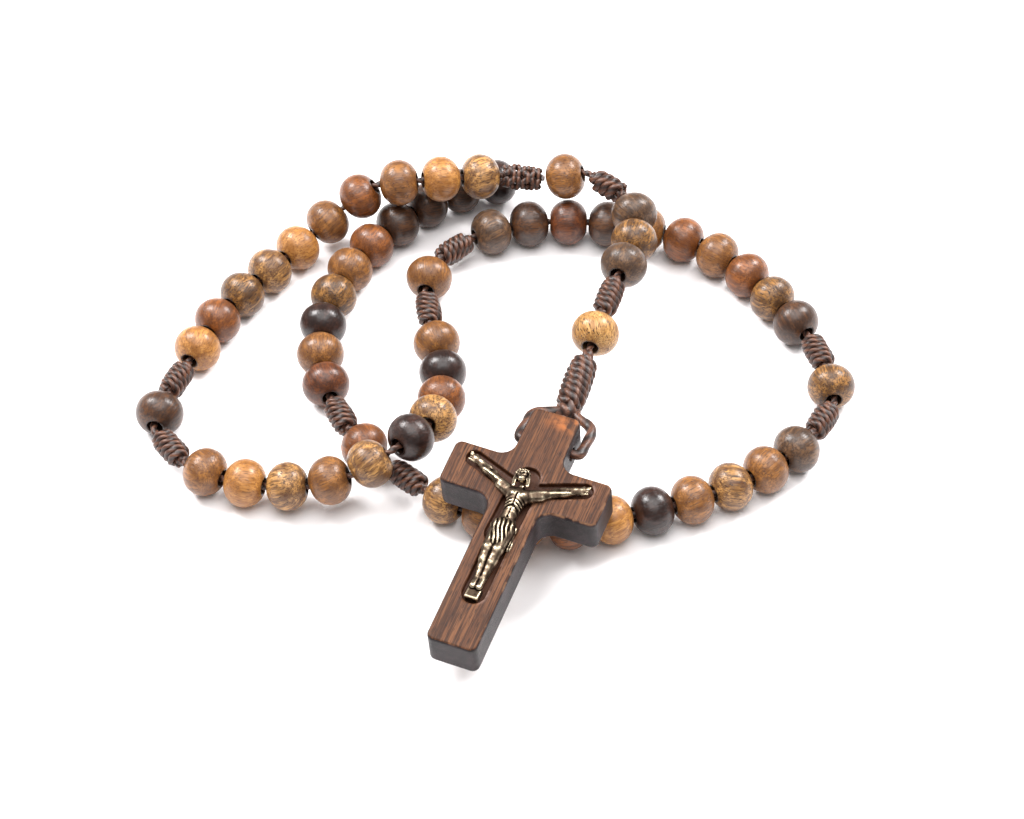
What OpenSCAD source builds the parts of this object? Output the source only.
// Five-decade wooden rosary lying on a table: a corded loop of fifty small beads in five tens,
// parted by single beads that are held between wrapped knots, and a pendant that crosses the loop
// and ends in a wooden crucifix. Millimetres, Z up, the table at z = 0, the origin under the
// middle of the whole piece.

/* [Beads] */
// Diameter of every bead
bead_d = 8; // [6:0.1:12]
// Length of a bead along its bore
bead_len = 6.6; // [5:0.1:10]
// Free room between the cord and the bore, on each side
bore_clearance = 0.7; // [0.3:0.05:1]
// Smallest gap between two pieces on the cord
play = 0.13; // [0.1:0.02:0.6]
// Extra cord left at each bead of decades 1 to 5
slack = [0.36, 0.15, 0.04, 0.04, 0.07]; // [0:0.01:2]

/* [Cord and knots] */
// Diameter of the cord that the beads run on
cord_d = 1.2; // [0.8:0.1:1.6]
// Diameter of a wrapped knot beside an Our Father bead
knot_d = 4.4; // [3.6:0.1:5.4]
// Length of a wrapped knot of the loop
knot_len = 8.2; // [6:0.1:12]
// Length of the junction knot
junction_len = 7.2; // [5:0.1:10]
// Bare cord between the junction knot and the first bead
junction_gap = 0.1; // [0:0.05:1]
// Length of the pendant's first knot
upper_knot_len = 8; // [6:0.1:12]
// Length of the knot below the pendant's three small beads
lower_knot_len = 9.6; // [6:0.1:12]
// Length of the long knot above the crucifix
end_knot_len = 15.5; // [10:0.5:20]
// Diameter of the long knot above the crucifix
end_knot_d = 5; // [4:0.1:6]
// Cord length taken by one turn of a knot
wrap_pitch = 1.15; // [0.9:0.05:1.6]
// Bare cord in decade 2 where it crosses over another part of the loop
crossing_gap = 1; // [0.5:0.1:4]
// Bare cord beside the last knotted bead, under that crossing
crossed_gap = 2.2; // [0.5:0.1:4]
// Cord from the last bead up to the junction knot
tail_len = 9.6; // [9:0.1:16]

/* [Crucifix] */
// Height of the cross
cross_len = 45; // [38:0.5:60]
// Width of the cross over its arms
cross_w = 26.4; // [22:0.2:34]
// Width of the upright and of the crossbar
arm_w = 8.2; // [7:0.1:10]
// Thickness of the cross
cross_t = 6.6; // [5:0.1:9]
// Distance from the top of the cross to the middle of its crossbar
bar_from_top = 14; // [12:0.5:18]
// Plain wood left below the recess
foot_margin = 7.8; // [5:0.2:12]
// Wood left between each hand and the end of its arm
hand_margin = 4; // [3:0.1:6]
// Radius of the hollow corners at the crossing
fillet_r = 2.4; // [1:0.1:3]
// Radius of the long edges
edge_r = 0.5; // [0.3:0.05:0.8]
// Radius of the outline's outer corners
corner_r = 1.2; // [0.8:0.1:2]
// Depth of the recess behind the figure
recess_depth = 1; // [0.5:0.1:1.5]

/* [Bail] */
// Diameter of the cord loop that the cross hangs on
bail_d = 1.8; // [1.2:0.1:2.2]
// Distance from the top of the cross to the bail hole
hole_from_top = 4.6; // [4:0.1:6]
// Free room around the bail in its hole
hole_clearance = 0.2; // [0.1:0.05:0.3]
// Room between the bail and the side of the cross
bail_gap = 0.25; // [0.2:0.05:1]
// Room between the cross's top corner and the bail above it
bail_top_gap = 0.2; // [0.1:0.05:0.6]
// Room between the bail's two legs in the long knot
leg_gap = 0.2; // [0.1:0.05:0.4]

/* [Hidden] */
DECADES = 5;
TENS = 10;
PENDANT_HAIL_MARYS = 3;

function bead_name(decade, i) = str("decade_", decade, "_bead_", i < 10 ? "0" : "", i);

BEAD_NODES = [for (decade = [1:DECADES]) for (i = [1:TENS]) bead_name(decade, i)];
PENDANT_NODES = [for (i = [1:PENDANT_HAIL_MARYS]) str("pendant_bead_0", i)];

$fn = 48;

// The route of the loop, from the right end of the junction knot round to the cord's end inside
// that knot: x, y and the height of the cord over its place on the table, in bead diameters.
LOOP_ROUTE = [
    [6.8, 45.3, 0.75], [-4, 45.4, 0.88], [-11, 43, 1], [-18, 42.4, 1.04], [-24.5, 42.3, 0.8],
    [-31, 39.5, 0.15], [-39.5, 30, 0], [-48, 18.5, 0], [-54, 4, 0], [-57.5, -6, 0], [-53, -14, 0],
    [-41.5, -19.5, 0], [-28, -20.5, 0.2], [-20, -18.5, 0.7], [-13.5, -13, 0.7],
    [-10.5, -3, 0.15], [-10.5, 7, 0], [-13, 18, 0], [-13.5, 28.5, 0], [-8, 35.5, 0],
    [2, 40.3, 0], [15, 40.8, 0], [28, 38, 0], [38.5, 31, 0], [46, 21, 0], [52.5, 9, 0],
    [53.5, -3, 0], [46.5, -12.5, 0], [36, -20, 0], [23, -25, 0], [9.5, -28.2, 0],
    [-3.5, -26, 0], [-15, -19, 0], [-24.5, -9.5, 0], [-30, 3, 0], [-31, 16, 0],
    [-26.5, 30, 0], [-18.5, 41, 0], [-8.5, 49, 0], [0.5, 51.5, 0], [6, 49.5, 0.3],
    [5.5, 46, 0.7]];
// The route of the pendant, from the same end of the junction knot towards the crucifix.
PENDANT_ROUTE = [
    [6.8, 45.3, 0.75], [12, 45.2, 1.01], [17.5, 42.5, 1], [22, 37, 0.95], [22.3, 30, 1],
    [20.5, 23.5, 1.08], [17.5, 15, 1.2]];
// Where the cord ends above the crucifix
PENDANT_END = [9.2, -13.3];
// Bead diameter that the two routes are drawn for
ROUTE_BEAD_D = 8;
// Middle of the routes on the table, which becomes the origin
ROUTE_MIDDLE = [-1.5, -1.8];
// Which way the cross points on the table, from +Y towards +X, how far its top is raised, and how
// far the bail leans back from the cross
CROSS_HEADING = 22;
CROSS_TILT = 8;
BAIL_LEAN = 12;
// Room between the crossbar and the beads below it
REST_GAP = 0.45;
// Steps between two points of a route, and sides of the swept cord
ROUTE_STEPS = 10;
CORD_SIDES = 8;

BEAD = "bead";
KNOT = "knot";

bore_d = cord_d + 2 * bore_clearance;
// A bead's outline is an arc of this radius, set off from the bore's axis by bead_edge
bead_arc_r = bead_len / 2;
bead_edge = (bead_d - bead_len) / 2;
// Width of the bead's face that a knot's end bears on, and the end's radius
BEARING = 0.15;
knot_edge = bore_d / 2 + BEARING;
// Radius of the long knot's lower end, which covers the bail's two legs
LEG_COVER = 0.45;
end_knot_end_r = bail_d + LEG_COVER;
// A knot's wraps: a wrap's radius as a share of the pitch, how deep the core lies under the crown
// of a wrap as a share of its radius, and how full the outline is (0 is a cylinder)
WRAP_SHARE = 0.56;
CORE_SHARE = 0.6;
FULLNESS = 0.4;
half_t = cross_t / 2;
stem_len = cross_len - bar_from_top;

// ---- Points along a smooth route ----

function curve_point(a, b, c, d, t) =
    (2 * b + (c - a) * t + (2 * a - 5 * b + 4 * c - d) * t * t
     + (3 * b - a - 3 * c + d) * t * t * t) / 2;

function smooth(points) =
    let (n = len(points), p = concat([2 * points[0] - points[1]], points,
                                     [2 * points[n - 1] - points[n - 2]]))
    concat([for (i = [1:n - 1]) for (j = [0:ROUTE_STEPS - 1])
                curve_point(p[i - 1], p[i], p[i + 1], p[i + 2], j / ROUTE_STEPS)],
           [points[n - 1]]);

// Distance along a polyline at each of its points
function distances(p) =
    [for (i = 0, s = 0; i < len(p); s = s + (i + 1 < len(p) ? norm(p[i + 1] - p[i]) : 0),
          i = i + 1) s];

// A table from distance to x, y and z
function route_table(points) =
    let (p = smooth(points), s = distances(p))
    [for (axis = [0:2]) [for (i = [0:len(p) - 1])
        [s[i], axis == 2 ? max(bead_d / 2, p[i][2]) : p[i][axis]]]];

function table_length(table) = table[0][len(table[0]) - 1][0];
function at(table, s) = [for (axis = [0:2]) lookup(s, table[axis])];
function unit(v) = v / norm(v);

// Half the angle between two directions
function half_angle(a, b) = acos(min(1, unit(a) * unit(b))) / 2;

// Half the bend of the route at s, seen over the pieces before and after it
function half_bend(table, s, before, after) =
    half_angle(at(table, s) - at(table, s - before), at(table, s + after) - at(table, s));

// ---- Pieces on the cord: [kind, length, extra cord after it] ----

function ten(decade, crossing) =
    [for (i = [1:TENS])
        [BEAD, bead_len, slack[decade - 1] + (i == crossing ? crossing_gap : 0)]];

function station(gap_before_bead) =
    [[KNOT, knot_len, gap_before_bead], [BEAD, bead_len, 0], [KNOT, knot_len, 0]];

LOOP_PIECES = concat(
    [[KNOT, junction_len, junction_gap]],
    ten(1, 0), station(0), ten(2, 5), station(0), ten(3, 0), station(0), ten(4, 0),
    station(crossed_gap), ten(5, 0));
PENDANT_PIECES = [
    [BEAD, bead_len, 0], [KNOT, upper_knot_len, 0], [BEAD, bead_len, 0], [BEAD, bead_len, 0],
    [BEAD, bead_len, 0], [KNOT, lower_knot_len, 0], [BEAD, bead_len, 0],
    [KNOT, end_knot_len, 0]];

// How far a piece reaches towards a joint where the cord bends by twice this angle
function reach(piece, angle) =
    (piece[1] / 2 + (piece[0] == BEAD ? bead_edge : knot_edge) * sin(angle) + play / 2)
    / cos(angle);

// Half the bend between the junction knot and the pendant, which start at the same point
junction_bend = half_angle(unrolled(LOOP_ROUTE[0]) - unrolled(LOOP_ROUTE[1]),
                           unrolled(PENDANT_ROUTE[1]) - unrolled(PENDANT_ROUTE[0]));

// A route's point with its level as a height
function unrolled(p) = [p[0], p[1], p[2] * ROUTE_BEAD_D];

// The reaches of the ith piece towards its two joints, where it takes len of cord from s
function start_reach(table, pieces, i, s, len) =
    reach(pieces[i], i == 0 ? junction_bend : half_bend(table, s, pieces[i - 1][1] + play, len));
function end_reach(table, pieces, i, s, len) =
    reach(pieces[i],
          half_bend(table, s + len, len, pieces[min(i + 1, len(pieces) - 1)][1] + play));

// Cord taken by the ith piece, which starts at s, if it takes about as much as guess
function room_near(table, pieces, i, s, guess) =
    start_reach(table, pieces, i, s, guess) + end_reach(table, pieces, i, s, guess)
    + pieces[i][2];

// The same, from a first guess without bends
function room(table, pieces, i, s) =
    room_near(table, pieces, i, s,
              room_near(table, pieces, i, s, pieces[i][1] + play + pieces[i][2]));

// Distances of the joints between the pieces, the first piece starting at the route's start.
// share is cord spread evenly between the pieces.
function joints(table, pieces, share) =
    [for (i = 0, s = 0;
          i <= len(pieces);
          s = s + (i < len(pieces) ? room(table, pieces, i, s) + share : 0),
          i = i + 1) s];

// How far each piece lies before the middle of its two joints: its extra cord is after it, and it
// stands further from the joint where the cord bends more
function shifts(table, pieces, stations) =
    [for (i = [0:len(pieces) - 1])
        let (s = stations[i], taken = stations[i + 1] - s)
        (end_reach(table, pieces, i, s, taken) - start_reach(table, pieces, i, s, taken)
         + pieces[i][2]) / 2];

function last(list) = list[len(list) - 1];

// ---- The routes at their real size ----

// Height of the crossbar's underside where it rests, and of the bail hole
cross_back_z = bead_d + REST_GAP;
// Reach of the cross's rounded top corner round the bail, and of the knot's end clear of it
top_reach = norm([hole_from_top, half_t]);
bail_reach = top_reach + bail_d / 2 + bail_top_gap;
hole_z = cross_back_z + (bar_from_top - hole_from_top) * sin(CROSS_TILT)
    + half_t * cos(CROSS_TILT);
bail_tilt = CROSS_TILT - BAIL_LEAN;
end_level = (hole_z + bail_reach * sin(bail_tilt)) / bead_d - 0.5;

function placed(point, scale, from = [0, 0], from_scale = 1) =
    let (xy = from * from_scale + ([point[0], point[1]] - from) * scale
              - ROUTE_MIDDLE * from_scale)
    [xy[0], xy[1], bead_d * (0.5 + point[2])];

function scaled_loop(scale) = [for (p = LOOP_ROUTE) placed(p, scale, [0, 0], scale)];
loop_need = last(joints(route_table(scaled_loop(1)), LOOP_PIECES, 0)) + tail_len;
loop_scale = max(bead_d / ROUTE_BEAD_D, loop_need / table_length(route_table(scaled_loop(1))));
LOOP_TABLE = route_table(scaled_loop(loop_scale));
loop_spare = table_length(LOOP_TABLE) - tail_len - last(joints(LOOP_TABLE, LOOP_PIECES, 0));
LOOP_JOINTS = joints(LOOP_TABLE, LOOP_PIECES, max(0, loop_spare) / len(LOOP_PIECES));

function scaled_pendant(scale) =
    [for (p = concat(PENDANT_ROUTE, [[PENDANT_END[0], PENDANT_END[1], end_level]]))
        placed(p, scale, [PENDANT_ROUTE[0][0], PENDANT_ROUTE[0][1]], loop_scale)];
pendant_need = last(joints(route_table(scaled_pendant(1)), PENDANT_PIECES, 0));
pendant_scale = max(loop_scale,
                    pendant_need / table_length(route_table(scaled_pendant(1))));
PENDANT_TABLE = route_table(scaled_pendant(pendant_scale));
pendant_spare = table_length(PENDANT_TABLE) - last(joints(PENDANT_TABLE, PENDANT_PIECES, 0));
PENDANT_JOINTS = joints(PENDANT_TABLE, PENDANT_PIECES,
                        max(0, pendant_spare) / len(PENDANT_PIECES));

function points_at(table, stations) = [for (s = stations) at(table, s)];
LOOP_POINTS = points_at(LOOP_TABLE, LOOP_JOINTS);
PENDANT_POINTS = points_at(PENDANT_TABLE, PENDANT_JOINTS);
LOOP_SHIFTS = shifts(LOOP_TABLE, LOOP_PIECES, LOOP_JOINTS);
PENDANT_SHIFTS = shifts(PENDANT_TABLE, PENDANT_PIECES, PENDANT_JOINTS);
// The tail rises from the last bead into the junction knot
TAIL_POINTS = points_at(LOOP_TABLE,
    [for (i = [1:5]) last(LOOP_JOINTS) + (table_length(LOOP_TABLE) - last(LOOP_JOINTS)) * i / 5]);

// ---- The cross's place ----

along_bail = [sin(CROSS_HEADING) * cos(bail_tilt), cos(CROSS_HEADING) * cos(bail_tilt),
              sin(bail_tilt)];
hole_centre = last(PENDANT_POINTS) - along_bail * bail_reach;
hole_d = bail_d + 2 * hole_clearance;

// ---- Placing ----

// Turns +Z to the direction from a to b and moves the origin to their middle
module on_cord(a, b) {
    d = b - a;
    translate((a + b) / 2)
        rotate([0, acos(d[2] / norm(d)), atan2(d[1], d[0])])
            children();
}

// Puts a cross drawn with its foot towards -Y, its front up and the bail hole at the origin
module on_cross(tilt = CROSS_TILT) {
    translate(hole_centre)
        rotate([0, 0, -CROSS_HEADING])
            rotate([tilt, 0, 0])
                children();
}

// ---- Beads and knots ----

// A bead on the Z axis: an arc turned round the axis, with a straight bore
module bead() {
    rotate_extrude()
        difference() {
            translate([bead_edge, 0])
                circle(r = bead_arc_r);
            translate([bore_d / 2 - bead_d, -bead_d])
                square([bead_d, 2 * bead_d]);
        }
}

// A knot on the Z axis: round turns side by side over a core, fuller in the middle. end_r is its
// radius at the far end.
module knot(length, diameter, end_r) {
    turns = round(length / wrap_pitch);
    pitch = length / turns;
    wrap_r = WRAP_SHARE * pitch;
    full_r = diameter / 2;
    rotate_extrude()
        intersection() {
            union() {
                translate([0, -length / 2])
                    square([knot_edge, length]);
                for (i = [0:turns - 1]) {
                    edge = i < turns / 2 ? knot_edge : end_r;
                    swell = pow(sin(180 * (i + 0.5) / turns), FULLNESS);
                    turn_r = edge + (full_r - edge) * swell;
                    translate([0, -length / 2 + i * pitch])
                        square([turn_r - CORE_SHARE * wrap_r, pitch]);
                    translate([turn_r - wrap_r, -length / 2 + (i + 0.5) * pitch])
                        circle(r = wrap_r, $fn = 24);
                }
            }
            translate([0, -length / 2])
                square([diameter, length]);
        }
}

module piece(pieces, points, shifts, i) {
    on_cord(points[i], points[i + 1])
        translate([0, 0, -shifts[i]])
            if (pieces[i][0] == BEAD)
                bead();
            else
                knot(pieces[i][1], knot_d, knot_edge);
}

// Nth bead of a decade among the loop's pieces: one knot first, then ten beads and a station
function loop_index(decade, i) = (decade - 1) * (TENS + 3) + i;

module decade_bead(decade, i) {
    color(i % 3 == 0 ? "sienna" : i % 3 == 1 ? "peru" : "saddlebrown")
        piece(LOOP_PIECES, LOOP_POINTS, LOOP_SHIFTS, loop_index(decade, i));
}

module pendant_bead(i) {
    color("peru")
        piece(PENDANT_PIECES, PENDANT_POINTS, PENDANT_SHIFTS, 1 + i);
}

module loop_knots() {
    color("#4a342a") {
        piece(LOOP_PIECES, LOOP_POINTS, LOOP_SHIFTS, 0);
        for (decade = [1:DECADES - 1])
            for (side = [1, 3])
                piece(LOOP_PIECES, LOOP_POINTS, LOOP_SHIFTS, loop_index(decade, TENS) + side);
    }
}

module loop_our_father_beads() {
    color("#7a4a2c")
        for (decade = [1:DECADES - 1])
            piece(LOOP_PIECES, LOOP_POINTS, LOOP_SHIFTS, loop_index(decade, TENS) + 2);
}

module pendant_our_father_beads() {
    color("#b98a58") {
        piece(PENDANT_PIECES, PENDANT_POINTS, PENDANT_SHIFTS, 0);
        piece(PENDANT_PIECES, PENDANT_POINTS, PENDANT_SHIFTS, 6);
    }
}

// ---- Cord ----

// A tube along points: one ring at each point, square to the mean of its two neighbours
module tube(points, diameter) {
    n = len(points);
    dirs = [for (i = [0:n - 1]) unit(points[min(i + 1, n - 1)] - points[max(i - 1, 0)])];
    rings = [for (i = [0:n - 1])
        let (side = unit(cross(dirs[i], abs(dirs[i][2]) > 0.95 ? [1, 0, 0] : [0, 0, 1])),
             lift = cross(side, dirs[i]))
        for (k = [0:CORD_SIDES - 1])
            points[i] + diameter / 2 * (side * cos(360 * k / CORD_SIDES)
                                        + lift * sin(360 * k / CORD_SIDES))];
    walls = [for (i = [0:n - 2]) for (k = [0:CORD_SIDES - 1])
        let (a = i * CORD_SIDES + k, b = i * CORD_SIDES + (k + 1) % CORD_SIDES)
            [a, b, b + CORD_SIDES, a + CORD_SIDES]];
    polyhedron(rings, concat([[for (k = [CORD_SIDES - 1:-1:0]) k]], walls,
        [[for (k = [0:CORD_SIDES - 1]) (n - 1) * CORD_SIDES + k]]), convexity = 10);
}

// The loop's cord starts inside the junction knot, one diameter from the pendant's
module loop_cord() {
    inwards = unit(LOOP_POINTS[1] - LOOP_POINTS[0]);
    start = LOOP_POINTS[0] + cord_d * inwards;
    color("#3b2a22")
        tube(concat([start], [for (i = [1:len(LOOP_POINTS) - 1]) LOOP_POINTS[i]], TAIL_POINTS),
             cord_d);
}

// The bail goes down one side of the cross, through its hole and up the other side
module bail() {
    side = arm_w / 2 + bail_d / 2 + bail_gap;
    leg = (bail_d + leg_gap) / 2;
    half = [[leg, bail_reach + 2.6], [leg + 0.7, bail_reach + 1.4],
            [side - 1.2, bail_reach + 0.35], [side - 0.1, top_reach + 0.1],
            [side, hole_from_top - 0.8], [side, 0.9], [side - 0.7, 0.1], [side - 2, 0]];
    path = concat(half, [for (i = [len(half) - 1:-1:0]) [-half[i][0], half[i][1]]]);
    on_cross(bail_tilt)
        tube([for (p = path) [p[0], p[1], 0]], bail_d);
}

// The long knot lies in line with the cross and holds both legs of the bail
module end_knot() {
    on_cord(PENDANT_POINTS[7], PENDANT_POINTS[8])
        knot(end_knot_len, end_knot_d, end_knot_end_r);
}

module pendant_cord() {
    color("#3b2a22") {
        tube(PENDANT_POINTS, cord_d);
        for (i = [1, 5])
            piece(PENDANT_PIECES, PENDANT_POINTS, PENDANT_SHIFTS, i);
        end_knot();
        bail();
    }
}

// ---- Crucifix, drawn flat: +Y to its top, +Z to its front, the bail hole at the origin ----

bar_y = hole_from_top - bar_from_top;
top_y = hole_from_top;
foot_y = hole_from_top - cross_len;

// A box with its twelve edges rounded, from one corner
module rounded_bar(size) {
    intersection() {
        for_axis(size, 0);
        for_axis(size, 1);
        for_axis(size, 2);
    }
}

module for_axis(size, axis) {
    if (axis == 2)
        linear_extrude(size[2]) rounded_square([size[0], size[1]], corner_r);
    else if (axis == 1)
        translate([0, size[1], 0]) rotate([90, 0, 0])
            linear_extrude(size[1]) rounded_square([size[0], size[2]], edge_r);
    else
        rotate([90, 0, 90])
            linear_extrude(size[0]) rounded_square([size[1], size[2]], edge_r);
}

module rounded_square(size, r) {
    translate([r, 0]) square([size[0] - 2 * r, size[1]]);
    translate([0, r]) square([size[0], size[1] - 2 * r]);
    for (x = [r, size[0] - r])
        for (y = [r, size[1] - r])
            translate([x, y]) circle(r = r);
}

module hollow_corner() {
    linear_extrude(cross_t - 2 * edge_r)
        difference() {
            translate([-1, -1]) square(fillet_r + 1);
            translate([fillet_r, fillet_r]) circle(r = fillet_r);
        }
}

// A slot with round ends between two points
module slot(a, b, width) {
    d = b - a;
    translate(a) circle(d = width);
    translate(b) circle(d = width);
    translate(a) rotate(atan2(d[1], d[0]))
        translate([0, -width / 2]) square([norm(d), width]);
}

// ---- The figure's plan, in the same frame ----

// Height of the figure as it is drawn, from the crossbar's middle down to the recess's end, and
// the widths of the recess behind its legs, its trunk, its arms and its head
FIGURE_H = 23.2;
LEG_SLOT = 3.8;
TRUNK_SLOT = 4.8;
ARM_SLOT = 2.9;
HEAD_SLOT = 4;

// Share of its drawn height that the figure has between the crossbar and its feet
figure_k = (stem_len - foot_margin) / FIGURE_H;
hand_x = cross_w / 2 - hand_margin;
FRONT_Z = half_t;
BACK_Z = half_t - recess_depth;

function on_figure(x, y) = [x, bar_y + y * figure_k];
HAND = [hand_x, 1.6];
neck = on_figure(0, -1.5);
hips = on_figure(-0.3, -9.6);
knees = on_figure(-0.5, -13.6);
ankles = on_figure(0, -18.4);
feet = on_figure(0, -20.6);

module recess() {
    translate([0, 0, BACK_Z])
        linear_extrude(recess_depth + 1) {
            slot(on_figure(0, -2.5), on_figure(0, LEG_SLOT / 2 - FIGURE_H), LEG_SLOT);
            slot(on_figure(0, -2.5), on_figure(-0.3, -10), TRUNK_SLOT);
            for (x = [-1, 1])
                slot([x * HAND[0], bar_y + HAND[1]], [x * 1.4, neck[1] + 0.2], ARM_SLOT);
            translate([0, bar_y + 0.9]) circle(d = HEAD_SLOT);
        }
}

module crucifix_cross() {
    color("#6b4630")
        on_cross()
            difference() {
                union() {
                    translate([-arm_w / 2, foot_y, -half_t])
                        rounded_bar([arm_w, cross_len, cross_t]);
                    translate([-cross_w / 2, bar_y - arm_w / 2, -half_t])
                        rounded_bar([cross_w, arm_w, cross_t]);
                    for (x = [0, 1]) for (y = [0, 1])
                        translate([0, bar_y, -half_t + edge_r])
                            mirror([x, 0, 0]) mirror([0, y, 0])
                                translate([arm_w / 2, arm_w / 2, 0]) hollow_corner();
                }
                rotate([0, 90, 0])
                    cylinder(d = hole_d, h = 2 * arm_w, center = true);
                recess();
            }
}

// A limb between two points of the figure with its own radius at each end
module limb(a, b, r_a, r_b) {
    hull() {
        translate([a[0], a[1], a[2]]) sphere(r = r_a, $fn = 16);
        translate([b[0], b[1], b[2]]) sphere(r = r_b, $fn = 16);
    }
}

function raised(p, z) = [p[0], p[1], BACK_Z + z];

// Nearly flat at the back, where it is glued to the floor of the recess
module corpus() {
    color("#b08d57")
        on_cross()
            intersection() {
                union() {
                    limb(raised(neck, 1.3), raised(hips, 1.2), 1.5, 1.25);
                    limb(raised(hips, 1.1), raised(hips, 1), 1.75, 1.7);
                    translate(raised(on_figure(-0.5, 1), 1.9)) sphere(r = 1.45, $fn = 24);
                    limb(raised(on_figure(-0.3, 0), 1.6), raised(neck, 1.2), 0.7, 0.8);
                    for (x = [-1, 1]) {
                        limb(raised([x * 1.7, neck[1] + 0.1], 1.4),
                             raised([x * (HAND[0] + 1.7) / 2, bar_y - 0.2], 1), 0.75, 0.62);
                        limb(raised([x * (HAND[0] + 1.7) / 2, bar_y - 0.2], 1),
                             raised([x * HAND[0], bar_y + HAND[1]], 0.8), 0.62, 0.6);
                        limb(raised(hips + [x * 0.7, 0], 1.1), raised(knees + [x * 0.6, 0], 1.6),
                             0.95, 0.8);
                        limb(raised(knees + [x * 0.6, 0], 1.6), raised(ankles + [x * 0.3, 0], 0.9),
                             0.8, 0.5);
                    }
                    limb(raised(ankles, 0.9), raised(feet, 1.1), 0.6, 0.75);
                    translate([feet[0] - 1.1, feet[1] - 0.8, BACK_Z]) cube([2.2, 1.3, 1.2]);
                }
                translate([-cross_w / 2, foot_y, BACK_Z])
                    cube([cross_w, cross_len, 2 * cross_t]);
            }
}

loop_cord();
loop_knots();
loop_our_father_beads();
pendant_cord();
pendant_our_father_beads();
crucifix_cross();
corpus();
for (i = [1:PENDANT_HAIL_MARYS])
    pendant_bead(i);
for (decade = [1:DECADES])
    for (i = [1:TENS])
        decade_bead(decade, i);
